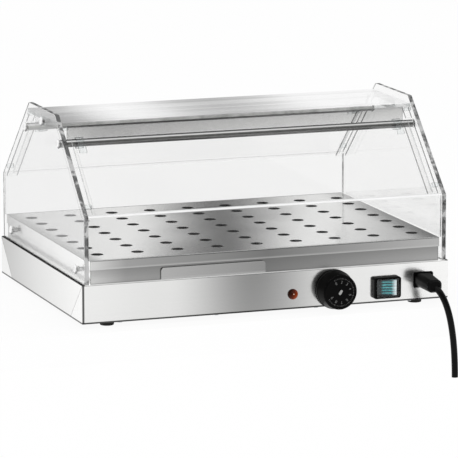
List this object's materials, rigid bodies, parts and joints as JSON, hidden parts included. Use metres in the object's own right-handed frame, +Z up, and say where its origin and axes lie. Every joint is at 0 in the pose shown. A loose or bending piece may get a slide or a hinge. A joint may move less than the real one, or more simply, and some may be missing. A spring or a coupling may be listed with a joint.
{
  "type": "countertop heated display case",
  "caption": "Countertop heated display: stainless base with controls and humidity drawer, perforated warm plate, clear sloped acrylic hood with swing-up flaps on chromed rods.",
  "frame": {"origin": "centre of the base's footprint, on the counter plane under the rubber feet", "axes": "+Z up, the control panel faces -Y, +X to the operator's right"},
  "size_m": [0.5004, 0.4143, 0.3436],
  "materials": {
    "stainless_satin": "satin brushed along X",
    "stainless_plate": "bright, finely brushed along X",
    "stainless_inner": "mill finish",
    "heater_tube": "heat-darkened steel sheath",
    "zinc_fasteners": "zinc plated",
    "chrome_rod": "polished",
    "chrome_screws": "polished domed heads",
    "acrylic_clear": "clear cast acrylic, polished edges",
    "acrylic_smoke": "lightly smoked translucent acrylic",
    "rubber_black": "matt",
    "knob_black": "satin moulded phenolic",
    "moulded_black": "fine-grained moulding",
    "lamp_amber": "translucent faceted lens",
    "rocker_teal": "translucent, ribbed",
    "boot_clear": "clear splash cover",
    "moulded_white": "moulded",
    "copper": "drawn copper capillary and bulb",
    "wire_insulation": "heat-resistant sleeving"
  },
  "bodies": {
    "base": {"bottom_cover": "stainless_satin", "bottom_screws": "zinc_fasteners", "bulb_clamps": "stainless_inner", "deck_frame": "stainless_satin", "drawer_guides": "stainless_inner", "foot_nuts": "zinc_fasteners", "foot_screws": "zinc_fasteners", "front_fascia": "acrylic_smoke", "front_lower_panel": "acrylic_clear", "front_rod": "chrome_rod", "heater_clamps": "stainless_inner", "heating_element": "heater_tube", "housing_shell": "stainless_satin", "indicator_body": "moulded_black", "indicator_lens": "lamp_amber", "indicator_nut": "zinc_fasteners", "ledges_left": "acrylic_clear", "ledges_right": "acrylic_clear", "panel_nuts": "zinc_fasteners", "panel_screws": "chrome_screws", "panel_spacers": "moulded_white", "pegs_left": "acrylic_clear", "pegs_right": "acrylic_clear", "perforated_plate": "stainless_plate", "power_inlet": "moulded_black", "rear_fascia": "acrylic_smoke", "rear_lower_panel": "acrylic_clear", "rear_rod": "chrome_rod", "rod_screws": "chrome_screws", "rubber_feet": "rubber_black", "side_panel_left": "acrylic_clear", "side_panel_right": "acrylic_clear", "switch_body": "moulded_black", "switch_cover": "boot_clear", "switch_frame": "moulded_black", "switch_pin": "stainless_inner", "terminal_block": "moulded_white", "thermostat_body": "moulded_white", "thermostat_bulb": "copper", "thermostat_screws": "zinc_fasteners", "top_blocks": "acrylic_clear", "top_cover": "acrylic_clear", "top_screws": "chrome_screws", "wiring": "wire_insulation"},
    "front_flap": {"front_flap": "acrylic_clear", "front_flap_clips": "acrylic_clear"},
    "rear_flap": {"rear_flap": "acrylic_clear", "rear_flap_clips": "acrylic_clear"},
    "drawer": {"water_drawer": "stainless_inner", "drawer_front": "stainless_satin"},
    "knob": {"thermostat_knob": "knob_black", "thermostat_shaft": "stainless_inner"},
    "rocker": {"switch_rocker": "rocker_teal"},
    "plug": {"power_plug": "moulded_black", "power_cord": "rubber_black"}
  },
  "joints": [
    {"name": "front_flap_hinge", "type": "hinge", "parent": "base", "child": "front_flap", "pos_m": [0, -0.072, 0.2207], "axis": [-1, 0, 0], "range_deg": [0, 110]},
    {"name": "rear_flap_hinge", "type": "hinge", "parent": "base", "child": "rear_flap", "pos_m": [0, 0.072, 0.2207], "axis": [1, 0, 0], "range_deg": [0, 110]},
    {"name": "drawer_slide", "type": "slide", "parent": "base", "child": "drawer", "axis": [0, -1, 0], "range_m": [0, 0.2]},
    {"name": "knob_turn", "type": "hinge", "parent": "base", "child": "knob", "pos_m": [0.0905, -0.178, 0.0287], "axis": [0, 1, 0], "range_deg": [0, 270]},
    {"name": "rocker_tilt", "type": "hinge", "parent": "base", "child": "rocker", "pos_m": [0.16252, -0.17731, 0.0264], "axis": [0, 0, 1], "range_deg": [0, 24]},
    {"name": "plug_slide", "type": "slide", "parent": "base", "child": "plug", "axis": [0, -1, 0], "range_m": [0, 0.03]}
  ]
}
